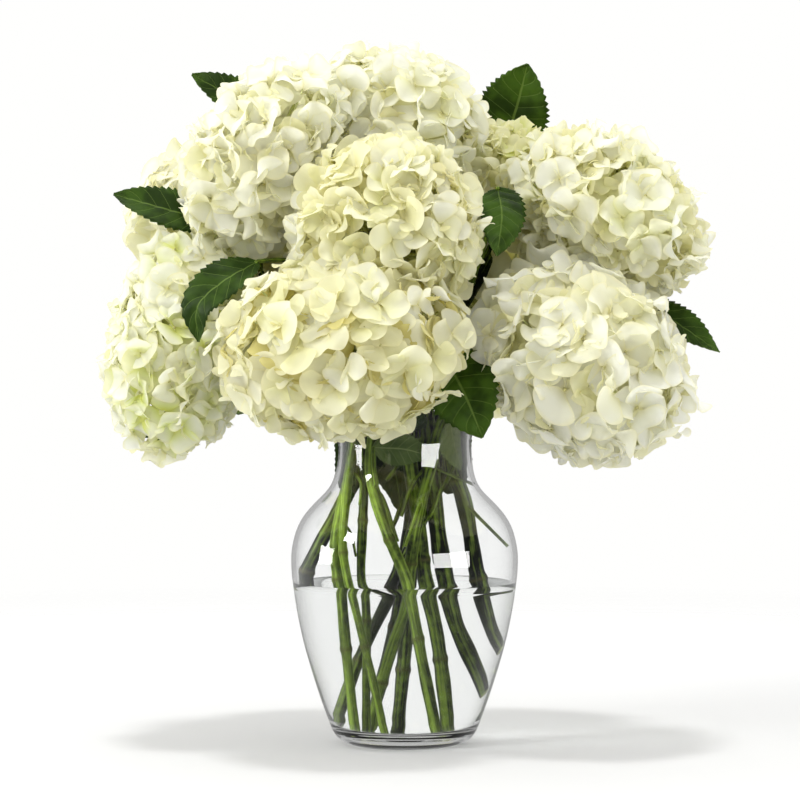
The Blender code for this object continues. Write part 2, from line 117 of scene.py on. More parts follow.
# Stems: radius, then the centre line from the cut foot to near the head. Below the water's level the lines
# are drawn as they look through the water, and drawn_in() brings them nearer to the vase's axis.
STEMS = {
    "center_low": (3.3, (
        (18.3, -27, 0), (10.2, -27, 50), (3.7, -27, 84), (-0.5, -27, 99), (-10, -26, 122),
        (-17, -23, 144), (-19, -20, 160), (-17, -22, 178), (-13, -31, 196))),
    "center_up": (4.2, (
        (25.5, -11, 0), (19.2, -13, 60), (13.7, -13, 86), (11, -13, 98), (8, -12, 126), (3, -13, 162),
        (1, -15, 200), (-1, -22, 232))),
    "top_left": (2.4, (
        (-10.6, -29, 0), (-18.5, -35, 45), (-27.3, -36, 80), (-32, -35, 99), (-34, -32, 120),
        (-30, -12, 160), (-27, -16, 182), (-25, -15, 198), (-28, -14, 225), (-42, -17, 255))),
    "top_center": (4.9, (
        (50, -9, 31), (32.5, -8.5, 64), (26.5, -8, 80), (22, -8, 99), (19, -8, 118), (14, -8, 162),
        (11, -4, 200), (4, 5, 250), (0, 12, 285))),
    "right_up": (4.6, (
        (59, 7, 56), (52, 6.5, 66), (46.5, 6, 80), (41, 5, 99), (35, 3, 133), (27, -1, 162), (30, 2, 195),
        (44, 11, 222), (64, 15, 245))),
    "right_low": (3.3, (
        (-21.3, -4, 0), (-10.1, -9, 50), (1.2, -13, 84), (3.5, -17.5, 104), (7, -23, 126), (15, -21, 162),
        (21, -17, 184), (36, -18, 205))),
    "left": (3.3, (
        (-28.6, -19, 0), (-33.7, -28, 62), (-36, -29, 90), (-38, -26, 116), (-30, -1, 160), (-31, 1, 186),
        (-44, 0, 210))),
    "left_back": (2.6, (
        (-21.8, -15, 0), (-21.7, -18, 80), (-24.5, -17.5, 99), (-23, -6.5, 160), (-29, -7, 190),
        (-38, -2, 215), (-58, 10, 238))),
    "back_right_small": (4.0, (
        (-4.3, 8, 0), (4, 6.5, 100), (9, 5, 162), (14, 10, 200), (26, 20, 235), (38, 28, 258))),
    "back_left": (4.0, (
        (-55.5, -4, 88.5), (-55.5, -4, 98), (-49, -3, 112), (-38, 3, 132), (-23, 12, 160), (-20, 18, 190),
        (-27, 36, 210))),
    "back_right": (3.4, (
        (-42, 12, 0), (-26.5, 15, 52), (-9, 15.5, 86), (-3.5, 15.5, 98), (8, 15, 122), (21, 11, 162),
        (22, 14, 185), (27, 33, 206))),
    "back_middle": (3.6, (
        (-22, 26, 0), (-3, 25, 84), (6, 20, 162), (4, 24, 200), (2, 36, 235), (0, 48, 260))),
}
PALENESS = {  # the back stems have OTHERS_PALENESS
    "left": 0.3, "center_low": 0.25, "top_left": 0.35, "right_low": 0.2, "center_up": 0.12, "left_back": 0.1,
    "top_center": -0.08, "right_up": -0.08,
}
OTHERS_PALENESS = -0.15
STANDS_BELOW = 25.0  # a stem that starts below this height stands on the vase's floor
VASE_FLOOR = 8.0
WATER_LEVEL = 92.0
JOINT_HEIGHTS = {  # where each stem has a ringed joint
    "center_low": (64, 118), "center_up": (53, 105), "top_left": (60, 110), "top_center": (88,),
    "right_up": (93, 150), "right_low": (40, 104), "left": (58, 96), "left_back": (74, 128),
    "back_right_small": (48, 120), "back_left": (98,), "back_right": (52, 100), "back_middle": (70,),
}

# Side shoots in the vase, by the stem they grow from: the route, and the radii at its two ends.
SHOOTS = {
    "right_up": ((((34, 1, 137), (44, -6, 127), (58, -10, 112.5)), 1.1, 0.9),
                 (((28, -4, 158), (22, -14, 146), (13, -22, 128)), 1.4, 1.0)),
    "right_low": ((((10, -23, 140), (5, -32, 127), (0.3, -38, 114)), 1.3, 0.9),
                  (((14, -21, 159), (26, -21, 153), (38, -9, 147)), 1.1, 0.8)),
    "left_back": ((((-23, -8, 158), (-14, -21, 168), (-3, -28, 181), (-2, -36, 192)), 1.5, 1.2),
                  (((-23, -8, 150), (-12, -14, 138), (-4, -22, 116)), 1.5, 1.1)),
    "left": ((((-36, -20, 128), (-30, -27, 121), (-27, -30, 108)), 0.9, 0.7),
             (((-31, -4, 157), (-24, -18, 148), (-25, -24, 136)), 1.2, 0.8)),
    "top_center": ((((14.5, -9, 158), (6, -16, 150), (-2, -20, 130)), 1.6, 1.1),
                   (((12, -8, 176), (2, -14, 166), (-10, -20, 150)), 1.5, 1.2)),
    "center_up": ((((8, -13, 124), (16, -24, 133), (20, -28, 146)), 1.2, 0.8),),
    "back_middle": ((((5.5, 20.5, 158), (1, 12, 142), (-9, 6, 118)), 1.9, 1.2),
                    (((5, 21.5, 150), (12, 14, 138), (17, 8, 117)), 1.6, 1.1)),
    "back_right": ((((20, 11, 159), (12, 3, 146), (3, -3, 122)), 1.7, 1.1),),
}

# Leaves: the stem that carries each, the height where its stalk starts, the stalk's points, the blade's
# points from base to tip, the blade's half width, and the way its upper side faces.
LEAVES = {
    "top_right": ("back_right_small", 268, ((50, 66, 300), (56, 88, 330)),
                  ((60.5, 86, 352), (67, 76, 370), (73, 60, 394.7)), 22, (-0.1, -1, 0.3)),
    "top_left": ("left_back", 262, ((-84, 30, 300), (-76, 28, 338)),
                 ((-74, 16, 354), (-95, 4, 367), (-121, -4, 380.5)), 14, (-0.1, -0.85, 0.5)),
    "left": ("left_back", 250, ((-90, 4, 280),),
             ((-108, -8, 296), (-132, -16, 302.5), (-164, -18, 311.5)), 14.5, (-0.1, -0.8, 0.6)),
    "mid_left": ("top_left", 262, ((-62, -45, 272),),
                 ((-80, -68, 271), (-98, -77, 260), (-112, -79, 246), (-112, -74, 227)), 13,
                 (-0.35, -0.85, 0.4)),
    "center_right": ("back_right_small", 262, ((48, 8, 292), (54, -10, 312)),
                     ((52, -28, 314), (54, -40, 298), (51, -48, 275)), 13, (0.1, -1, 0.1)),
    "right": ("right_up", 262, ((100, 8, 259),),
              ((131, -4, 253), (151, -18, 240.5), (169, -26, 227.5), (176.5, -28, 222.5)), 12,
              (0.3, -0.8, 0.5)),
    "low_center": ("right_low", 204, ((27, -36, 216),),
                   ((22, -50, 220), (33, -62, 198), (42.5, -67, 175)), 21, (-0.25, -0.9, 0.3)),
    "left_low": ("left", 211, ((-74, 16, 196),),
                 ((-110, 20, 186), (-138, 18, 182), (-160, 12, 178)), 13, (0, -0.7, -0.7)),
    "neck_front": ("center_low", 146, ((-17, -28, 158),),
                   ((-17, -28.5, 169), (0, -33, 168), (14, -29.5, 164)), 10, (0, 1, 0)),
    "neck_right": ("right_up", 190, ((32, -9, 187),),
                   ((24, -25.5, 184), (26.6, -21.5, 170), (30.6, -15.5, 156)), 10, (-0.8, 0.6, 0)),
    "back_left": ("back_left", 214, ((-46, 60, 212),),
                  ((-68, 84, 200), (-87, 105, 196), (-103, 123, 187)), 22, (-0.3, 0.3, 0.9)),
    "back_right": ("right_up", 250, ((86, 40, 262),),
                   ((100, 62, 280), (116, 80, 288), (130, 94, 284)), 20, (0.2, 0.3, 0.9)),
    "back_low": ("back_right", 212, ((22, 58, 216),),
                 ((6, 78, 206), (-3, 96, 192), (-6, 108, 170)), 22, (0, 0.9, 0.4)),
}
WIDEST = 0.4  # a blade is widest at this share of its length
ROUNDNESS = 0.6  # the lower, the rounder a blade's base
BLADE_GRID = (76, 13)  # points along a blade and across it
BLADE_THICKNESS = 0.6
LEAF_VEINS = 7  # on each side of the midrib
LEAF_SLANT = 0.2  # how far the veins run up the blade, as a share of its length
LEAF_TEETH = 15  # on each side
STALK_RADII = (1.6, 1.1)  # at the stem and at the blade
STALK_PALENESS = 0.25
LEAF_PAINTED_LIGHT_AND_SHADE = {  # painted light and shade on some leaves; the others have OTHERS_SHADE
    "mid_left": -0.05, "left": 0.1, "top_left": 0.1, "neck_front": 0.45, "neck_right": 0.9,
}
OTHERS_SHADE = 0.3

# The vase's outer side from rim to foot, as (height, radius).
VASE_SIDE = (
    (200, 46.0), (194, 43.0), (185, 40.2), (174, 38.4), (163, 38.4), (153, 39.8), (145, 43.4), (136, 52.0),
    (129, 57.8), (121, 61.8), (110, 64.3), (99, 64.4), (88, 63.2), (74, 61.0), (58, 57.6), (43, 53.4),
    (28, 48.6), (14, 43.6), (8, 41.2), (4, 38.6), (1.5, 35.2), (0, 31.0),
)
VASE_WALL = 2.6
INNER_SIDE_END = 16.0  # the height at which the inner side turns into the floor's rounded corner
# The hollow under the foot, as (height, radius).
VASE_UNDER = ((0, 31.0), (0.2, 28.5), (1.6, 24), (2.4, 17), (2.6, 8))
WATER_IN_GLASS = 0.6  # how deep in the wall, from the outside, the water's side lies
TURNED_STEPS = 112

# Small leaves at the bouquet's neck, by the leaf they belong to: blade, half width and facing.
BRACTS = {
    "neck_front": (
        (((-31, -2, 138), (-33, -6, 160), (-31, -12, 184)), 8, (-0.6, -0.8, 0)),
        (((6, -18, 178), (4, -29, 186), (-2, -36, 198)), 8, (0.1, -1, -0.2)),
        (((2, -4, 176), (4, -6, 156), (0, -8, 136)), 6, (0.1, -1, 0)),
        (((-31, 8, 190), (-32, 8, 170), (-33, 7, 148)), 9, (-0.5, -0.9, 0)),
    ),
    "neck_right": (
        (((24, 8, 140), (30, 4, 158), (31, 0, 180)), 9, (0.3, -0.9, 0.1)),
        (((14, 16, 190), (15, 15, 160), (17, 13, 132)), 13, (0.1, -1, 0.1)),
        (((-8, 18, 190), (-6, 16, 160), (-2, 14, 130)), 14, (-0.1, -1, 0)),
        (((-27, 6, 146), (-26, 4, 166), (-24, 0, 190)), 10, (-0.3, -1, 0)),
        (((30, -8, 194), (31, -9, 174), (32, -9, 150)), 8, (0.6, -0.8, 0)),
        (((4, 12, 184), (7, 10, 160), (9, 6, 134)), 9, (0.2, -1, 0)),
    ),
}
BRACT_GRID = (31, 9)
# the neck's small leaves painted darker: painted shade where little light gets in
BRACT_PAINTED_SHADE = -0.1

ROD_SIDES = 8  # of shoots and leaf stalks


# Geometry


def smooth_line(points, spacing):
    """Points about this far apart on a smooth curve through the given points."""
    points = [np.array(point, float) for point in points]
    ends = [2 * points[0] - points[1]] + points + [2 * points[-1] - points[-2]]
    line = [points[0]]
    for before, start, end, after in zip(ends, ends[1:], ends[2:], ends[3:]):
        count = max(1, round(float(np.linalg.norm(end - start)) / spacing))
        for step in range(1, count + 1):
            t = step / count
            cubic = (2 * start + (end - before) * t + (2 * before - 5 * start + 4 * end - after) * t**2
                     + (3 * start - before - 3 * end + after) * t**3)
            line.append(cubic / 2)
    return np.array(line)


def lengths(line):
    """How far along the line each of its points lies."""
    return np.concatenate([[0], np.cumsum(np.linalg.norm(np.diff(line, axis=0), axis=1))])


def unit(vectors):
    return vectors / np.linalg.norm(vectors, axis=-1, keepdims=True)


def turn_about(axis, angle):
    x, y, z = axis
    k = np.array(((0, -z, y), (z, 0, -x), (-y, x, 0)))
    return np.eye(3) + math.sin(angle) * k + (1 - math.cos(angle)) * k @ k


def smoothstep(low, high, values):
    t = np.clip((values - low) / (high - low), 0, 1)
    return t * t * (3 - 2 * t)


def grid_faces(rows, columns, closed=False):
    """Quads of a grid of points, row by row; closed joins the last column to the first."""
    r = np.arange(rows - 1)[:, None]
    c = np.arange(columns if closed else columns - 1)[None, :]
    n = (c + 1) % columns
    quads = np.stack([r * columns + c, r * columns + n, (r + 1) * columns + n, (r + 1) * columns + c], -1)
    return quads.reshape(-1, 4)


def closed_faces(rings, sides):
    """Faces round a row of rings and over its two ends, whose middle points come last."""
    faces = grid_faces(rings, sides, True).tolist()
    last = rings * sides
    for i in range(sides):
        n = (i + 1) % sides
        faces.append([i, last, n])
        faces.append([last - sides + n, last + 1, last - sides + i])
    return faces


def seeded(name):
    """A random generator that belongs to the name."""
    return np.random.default_rng([ord(letter) for letter in name])


class Sheets:
    """A mesh gathered from many small grids, with a field of four numbers at each point."""

    def __init__(self):
        self.points, self.faces, self.fields, self.slots = [], [], [], []
        self.count = 0

    def add(self, points, faces, field, slot=0):
        self.points.append(points)
        for face in np.asarray(faces, object).tolist():
            self.faces.append([corner + self.count for corner in face])
        self.fields.append(np.broadcast_to(field, (len(points), 4)))
        self.slots += [slot] * len(faces)
        self.count += len(points)

    def piece(self, name, materials, replaced, slot):
        mesh = bpy.data.meshes.new(name)
        mesh.from_pydata((np.concatenate(self.points) * MM).tolist(), [], self.faces)
        layer = mesh.attributes.new("look", "FLOAT_COLOR", "POINT")
        layer.data.foreach_set("color", np.concatenate(self.fields).astype(np.float32).ravel())
        for material in materials:
            mesh.materials.append(material)
        mesh.polygons.foreach_set("material_index", self.slots)
        mesh.shade_smooth()
        piece = bpy.data.objects.new(name, mesh)
        bpy.context.scene.collection.objects.link(piece)
        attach(piece, BODY)
        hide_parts(replaced)
        return piece


def tube(line, radii, sides):
    """A rod along a line: its points and faces. The radii go by ring, or by point."""
    radii = np.broadcast_to(np.reshape(radii, (len(line), -1)), (len(line), sides))
    along = unit(np.gradient(line, axis=0))
    side = unit(np.cross(along[0], (0.3, 1, 0.2)))
    rings = []
    angles = np.arange(sides) * math.tau / sides
    for place, way, radius in zip(line, along, radii):
        side = unit(side - way * side.dot(way))
        other = np.cross(way, side)
        ring = np.outer(np.cos(angles), side) + np.outer(np.sin(angles), other)
        rings.append(place + ring * radius[:, None])
    points = np.concatenate(rings + [line[:1], line[-1:]])
    return points, closed_faces(len(line), sides)


# Materials


class Nodes:
    """The node tree of a material or a world, with short calls for the nodes used here."""

    def __init__(self, owner):
        self.owner = owner
        owner.use_nodes = True
        self.tree = owner.node_tree
        self.tree.nodes.clear()

    def add(self, kind, inputs=(), **settings):
        node = self.tree.nodes.new("ShaderNode" + kind)
        for key, value in settings.items():
            setattr(node, key, value)
        for key, value in dict(inputs).items():
            if isinstance(value, bpy.types.NodeSocket):
                self.tree.links.new(value, node.inputs[key])
            else:
                node.inputs[key].default_value = value
        return node

    def math(self, operation, a, b=0.0, clamp=False):
        return self.add("Math", {0: a, 1: b}, operation=operation, use_clamp=clamp).outputs[0]

    def vector(self, operation, a, b):
        return self.add("VectorMath", {0: a, 1: b}, operation=operation).outputs[0]

    def dot(self, a, b):
        return self.add("VectorMath", {0: a, 1: b}, operation="DOT_PRODUCT").outputs["Value"]

    def ramp(self, value, low, high, start=0.0, end=1.0):
        inputs = {"Value": value, "From Min": low, "From Max": high, "To Min": start, "To Max": end}
        return self.add("MapRange", inputs, interpolation_type="SMOOTHSTEP").outputs[0]

    def blend(self, share, a, b):
        """A number between two numbers."""
        return self.add("Mix", {0: share, 2: a, 3: b}, data_type="FLOAT").outputs[0]

    def mix(self, share, a, b):
        """A colour between two colours."""
        return self.add("Mix", {0: share, 6: a, 7: b}, data_type="RGBA").outputs[2]

    def noise(self, scale, detail, place):
        return self.add("TexNoise", {"Scale": scale, "Detail": detail, "Vector": place}).outputs[0]

    def place(self):
        return self.add("TexCoord").outputs["Object"]

    def look(self):
        """The four numbers of the look field."""
        field = self.add("Attribute", attribute_name="look")
        parts = self.add("SeparateColor", {0: field.outputs["Color"]})
        return [*parts.outputs[:3], field.outputs["Alpha"]]

    def bump(self, height, strength, distance):
        inputs = {"Height": height, "Strength": strength, "Distance": distance * MM}
        return self.add("Bump", inputs).outputs[0]

    def surface(self, color, roughness, specular, normal):
        inputs = {"Base Color": color, "Roughness": roughness, "Specular IOR Level": specular,
                  "Normal": normal}
        return self.add("BsdfPrincipled", inputs).outputs[0]

    def mix_shaders(self, share, a, b):
        return self.add("MixShader", {0: share, 1: a, 2: b}).outputs[0]

    def finish(self, shader, output="OutputMaterial"):
        self.tree.links.new(shader, self.add(output).inputs[0])
        return self.owner


WHITE_PETAL = (0.935, 0.94, 0.90, 1)
CREAM_PETAL = (0.86, 0.85, 0.60, 1)
LIME_PETAL = (0.75, 0.83, 0.22, 1)
RIM_PETAL = (0.92, 0.89, 0.64, 1)
# painted shade: the dark yellow that inner florets and floret middles are darkened towards
PAINTED_SHADE_PETAL = (0.70, 0.64, 0.27, 1)
PETAL_GLOW = 0.6  # the share of light that a petal lets through
EYE_COLORS = ((0.30, 0.26, 0.08, 1), (0.62, 0.60, 0.28, 1))
STALK_COLORS = ((0.46, 0.52, 0.18, 1), (0.70, 0.70, 0.38, 1))
# A leaf's upper side and underside: dark, light and vein.
UPPER_COLORS = ((0.013, 0.030, 0.002, 1), (0.050, 0.105, 0.008, 1), (0.13, 0.20, 0.04, 1))
UNDER_COLORS = ((0.05, 0.085, 0.018, 1), (0.12, 0.17, 0.05, 1), (0.26, 0.32, 0.13, 1))
# The stems' dark and bright greens; the near black and the bright lime also paint shaded and lit sides.
DARK_STEM_AND_SHADE = (0.004, 0.008, 0.0015, 1)
BRIGHT_STEM_AND_LIGHT = (0.215, 0.325, 0.036, 1)
WET_STEM = (0.055, 0.065, 0.03, 1)
JOINT_COLOR = (0.07, 0.065, 0.018, 1)
CUT_COLOR = (0.42, 0.47, 0.20, 1)
GLASS_TINT = (0.985, 0.99, 0.99, 1)
WATER_TINT = (0.99, 0.995, 0.99, 1)
GLASS_IOR = 1.5
WATER_IOR = 1.333
SURFACE_UNSEEN = 0.97  # the share of light that the water's top leaves alone
LAST_PASSAGE = 6.5  # after so many bounces light goes straight through, so that none is lost in the glass


def petal_material():
    """Soft matte petals: the look field holds tone, green, rim and depth; depth is painted shade."""
    n = Nodes(bpy.data.materials.new("petal"))
    tone, green, rim, depth = n.look()
    place = n.place()
    mottle = n.ramp(n.noise(45.0, 2.0, place), 0.3, 0.7, -0.15, 0.15)
    color = n.mix(n.math("ADD", tone, mottle, clamp=True), WHITE_PETAL, CREAM_PETAL)
    color = n.mix(rim, color, RIM_PETAL)
    color = n.mix(green, color, LIME_PETAL)
    # painted shade on inner florets and floret middles
    color = n.mix(depth, color, PAINTED_SHADE_PETAL)
    normal = n.bump(n.noise(260.0, 3.0, place), 0.2, 0.4)
    front = n.surface(color, 0.55, 0.3, normal)
    back = n.add("BsdfTranslucent", {"Color": color, "Normal": normal})
    return n.finish(n.mix_shaders(PETAL_GLOW, front, back.outputs[0]))


def eye_material():
    """The floret's small bud in its middle."""
    n = Nodes(bpy.data.materials.new("floret_eye"))
    shade = n.noise(400.0, 2.0, n.place())
    color = n.mix(shade, *EYE_COLORS)
    return n.finish(n.surface(color, 0.5, 0.4, n.bump(shade, 0.2, 0.2)))


def stalk_material():
    """Pale green stalks inside the heads."""
    n = Nodes(bpy.data.materials.new("floret_stalk"))
    shade = n.noise(120.0, 2.0, n.place())
    color = n.mix(shade, *STALK_COLORS)
    return n.finish(n.surface(color, 0.55, 0.4, n.bump(shade, 0.2, 0.2)))


def leaf_material(name, dark, light, vein):
    """A leaf's side: the look field holds place along and across the blade, and a lightness of its own,
    which on some leaves is painted light and shade.
    """
    n = Nodes(bpy.data.materials.new(name))
    along, across, shade, _ = n.look()
    side = n.math("ABSOLUTE", across)
    mottle = n.ramp(n.noise(55.0, 3.0, n.place()), 0.35, 0.65, -0.35, 0.35)
    # the lightness holds painted light and shade on some leaves
    color = n.mix(n.math("ADD", mottle, shade, clamp=True), dark, light)
    slant = n.math("SUBTRACT", along, n.math("MULTIPLY", side, LEAF_SLANT))
    step = n.math("FRACT", n.math("MULTIPLY", slant, float(LEAF_VEINS)))
    from_vein = n.math("ABSOLUTE", n.math("SUBTRACT", step, 0.5))
    lateral = n.math("MULTIPLY", n.ramp(from_vein, 0.455, 0.492), n.ramp(side, 0.75, 1.0, 0.7, 0.1))
    midrib = n.ramp(side, 0.018, 0.05, 1.0, 0.0)
    veins = n.math("MAXIMUM", lateral, midrib)
    color = n.mix(n.math("MULTIPLY", veins, 0.55), color, vein)
    fine = n.math("MULTIPLY", n.noise(500.0, 3.0, n.place()), 0.3)
    normal = n.bump(n.math("SUBTRACT", fine, veins), 0.45, 0.5)
    return n.finish(n.surface(color, 0.5, 0.12, normal))


def stem_material():
    """Green stems: the look field holds paleness, joints, cut ends and the turn round the stem."""
    n = Nodes(bpy.data.materials.new("stem"))
    pale, joint, cut, turn = n.look()
    place = n.place()
    height = n.add("SeparateXYZ", {0: place}).outputs["Z"]
    turn = n.math("MULTIPLY", turn, math.tau)
    around = {"X": n.math("COSINE", turn), "Y": n.math("SINE", turn), "Z": n.math("MULTIPLY", height, 14.0)}
    round_it = n.add("CombineXYZ", around).outputs[0]
    own = n.vector("ADD", round_it, n.vector("MULTIPLY", place, (9.0, 9.0, 0.0)))
    # painted light and shade: streaks round the stem, from near black to bright green, stand in for lit and
    # shaded sides
    painted_light_streak = n.ramp(n.noise(1.7, 3.0, own), 0.42, 0.66)
    fleck = n.ramp(n.noise(220.0, 2.0, place), 0.35, 0.65, -0.12, 0.12)
    lightness = n.math("ADD", n.math("MULTIPLY", painted_light_streak, 0.7), fleck)
    color = n.mix(n.math("ADD", lightness, pale, clamp=True), DARK_STEM_AND_SHADE, BRIGHT_STEM_AND_LIGHT)
    wet = n.ramp(height, (WATER_LEVEL - 6) * MM, WATER_LEVEL * MM, 0.25, 0.0)
    color = n.mix(wet, color, WET_STEM)
    color = n.mix(n.math("MULTIPLY", joint, 0.75), color, JOINT_COLOR)
    color = n.mix(cut, color, CUT_COLOR)
    return n.finish(n.surface(color, 0.42, 0.15, n.bump(painted_light_streak, 0.3, 0.5)))


def clear_material(name, ior, tint, unseen=0.0):
    """Clear glass or water. It lets the lamps' light and an unseen share of all light straight through."""
    n = Nodes(bpy.data.materials.new(name))
    inputs = {"Base Color": tint, "Roughness": 0.0, "IOR": ior, "Transmission Weight": 1.0}
    solid = n.add("BsdfPrincipled", inputs)
    ripple = n.noise(14.0, 1.0, n.place())
    n.tree.links.new(n.bump(ripple, 0.05, 1.0), solid.inputs["Normal"])
    through = n.add("BsdfTransparent", {"Color": tint})
    path = n.add("LightPath").outputs
    late = n.math("GREATER_THAN", path["Ray Depth"], LAST_PASSAGE)
    share = n.math("MAXIMUM", n.math("MAXIMUM", path["Is Shadow Ray"], late), unseen)
    return n.finish(n.mix_shaders(share, solid.outputs[0], through.outputs[0]))


# Flower heads

OUTER_OVERLAP = 0.88  # florets stop where another head's ellipsoid, shrunk to this share, begins
INNER_OVERLAP = 0.80
OUTER_BASE = BASE_SHARE + 0.08  # and at this share of the mean radius towards the base
ROOM_AT_LEAVES = 0.75  # the share of a leaf's half width that florets keep clear of
INNER_COUNT = 0.85  # inner florets for each outer one
INNER_PETAL = 0.8  # their petals' length as a share of the outer ones'
INNER_GREEN = 0.6  # and their green-yellow
# the inner florets' cream, which also paints the head's inside as yellower shade
INNER_TONE_AND_SHADE = 0.9
INNER_FINE = 6
FLORET_MIDDLE_SHADE = 0.35  # how dark a floret's middle is painted: partly the petals' own yellower base, partly painted shade where they meet
STALK_RADIUS = 0.55
BUD_SIDES = 6


def base_direction(head):
    """The way from a head's centre to where its stem comes in."""
    centre, _, _, source = HEADS[head]
    return unit(np.array(source, float) - np.array(centre, float))


def shape_of(head):
    """A head's centre, its radii and the matrix that turns directions into its own axes."""
    centre, radii, roll, _ = HEADS[head]
    return np.array(centre, float), np.array(radii, float), turn_about((0, 1, 0), math.radians(roll))


def head_surface(head, directions):
    """How far the head reaches along each direction, and its surface's normal there."""
    _, radii, own = shape_of(head)
    local = directions @ own.T
    distance = 1 / np.sqrt(((local / radii) ** 2).sum(1))
    return distance, unit(local / radii**2) @ own


def spread(count, rng):
    """Directions spread over a sphere, each moved a little from an even place."""
    i = np.arange(count) + 0.5
    z = 1 - 2 * i / count
    turn = i * math.pi * (3 - math.sqrt(5))
    r = np.sqrt(1 - z * z)
    even = np.stack([r * np.cos(turn), r * np.sin(turn), z], 1)
    moved = unit(even + rng.normal(0, 0.75 / math.sqrt(count), (count, 3)))
    axes, _ = np.linalg.qr(rng.normal(0, 1, (3, 3)))
    return moved @ axes


def petal_sheet(rng, style, length, n):
    """One petal in its floret's frame, along +X: its points, how far along they lie and how far out."""
    side = np.linspace(-1, 1, n)
    a, b = (grid.ravel() for grid in np.meshgrid(side, side, indexing="ij"))
    x, y = a * np.sqrt(1 - b * b / 2), b * np.sqrt(1 - a * a / 2)
    angle, edge = np.arctan2(y, x), np.hypot(x, y)
    waves = rng.uniform(0, math.tau, 4)
    outline = 1 + edge**2 * (0.05 * np.sin(2 * angle + waves[0]) + 0.03 * np.sin(3 * angle + waves[1]))
    along = (x * outline + 1) / 2
    half = style["wide"] * rng.uniform(0.9, 1.1) / 2
    u = y * outline * (0.5 + 0.5 * smoothstep(0, 0.5, along))
    lift = style["lift"] + rng.normal(0, 0.07)
    curl = style["curl"] * rng.uniform(0.2, 1.4)
    fold = style["fold"] * rng.uniform(-0.5, 1.5)
    ruffle = style["ruffle"] * rng.uniform(0.5, 1.5)
    tip = rng.uniform(-0.3, 0.08)
    rise = lift * along + tip * smoothstep(0.5, 1.05, along) ** 2 + curl * u**2 * (0.3 + along)
    rise += fold * np.abs(u) * along
    rise += ruffle * edge**3 * (np.sin(3 * angle + waves[2]) + 0.4 * np.sin(5 * angle + waves[3]))
    return np.stack([along * 0.97 + 0.03, u * half, rise], 1) * length, along, edge


def add_floret(sheets, rng, style, place, outward, petal, n, tone, green, depth):
    """Petals round a small bud, facing outward with a lean of their own."""
    lean = rng.normal(0, style["tilt"], 3)
    up = unit(outward + lean - outward * lean.dot(outward))
    side = unit(np.cross(up, rng.normal(0, 1, 3)))
    axes = np.stack([side, np.cross(up, side), up])
    count = rng.choice(PETAL_COUNTS)
    faces = grid_faces(n, n)
    for i in range(count):
        length = petal * rng.uniform(0.86, 1.1)
        points, along, edge = petal_sheet(rng, style, length, n)
        twist = turn_about((1, 0, 0), rng.normal(0, 0.14))
        spin = turn_about((0, 0, 1), (i + rng.normal(0, 0.06)) * math.tau / count)
        points = points @ twist.T @ spin.T
        points[:, 2] += petal * 0.05 * (i % 2)
        field = np.empty((len(points), 4))
        field[:, 0] = tone + rng.normal(0, 0.1)
        field[:, 1] = green * (0.85 * (1 - smoothstep(0.0, 0.75, along)) + 0.15)
        field[:, 2] = 0.7 * smoothstep(0.86, 1.0, edge)
        # painted shade: the given darkness, and more towards the floret's middle where the petals meet
        field[:, 3] = np.maximum(depth, FLORET_MIDDLE_SHADE * (1 - smoothstep(0.0, 0.5, along)))
        sheets.add(place + points @ axes, faces, field)
    add_bud(sheets, place, axes, petal * 0.065)


def add_bud(sheets, place, axes, radius):
    """A floret's domed bud: two rings and a point."""
    angles = np.arange(BUD_SIDES) * math.tau / BUD_SIDES
    ring = np.stack([np.cos(angles), np.sin(angles), np.full(BUD_SIDES, 0.25)], 1)
    upper = ring * (0.6, 0.6, 1) + (0, 0, 0.75)
    points = np.concatenate([ring, upper, [(0, 0, 1.25)]]) * radius
    faces = grid_faces(2, BUD_SIDES, True).tolist()
    for i in range(BUD_SIDES):
        faces.append([BUD_SIDES + i, BUD_SIDES + (i + 1) % BUD_SIDES, 2 * BUD_SIDES])
    sheets.add(place + points @ axes, faces, (0, 0, 0, 0), 1)


def inside_others(head, points, share):
    """Which points lie inside another head's ellipsoid shrunk to this share."""
    hidden = np.zeros(len(points), bool)
    for other in HEADS:
        if other != head:
            centre, radii, own = shape_of(other)
            away = (points - centre) @ own.T / (radii * share)
            hidden |= (away**2).sum(1) < 1
    return hidden


def near_leaves(points, margin):
    """Which points are so close to a leaf's blade that a floret there would cut through it."""
    close = np.zeros(len(points), bool)
    for _, _, _, blade, half_width, _ in LEAVES.values():
        line = smooth_line(blade, 4.0)
        share = lengths(line) / lengths(line)[-1]
        room = ROOM_AT_LEAVES * half_width * blade_width(share) + margin
        away = np.linalg.norm(points[:, None] - line[None], axis=2)
        close |= (away < room[None]).any(1)
    return close


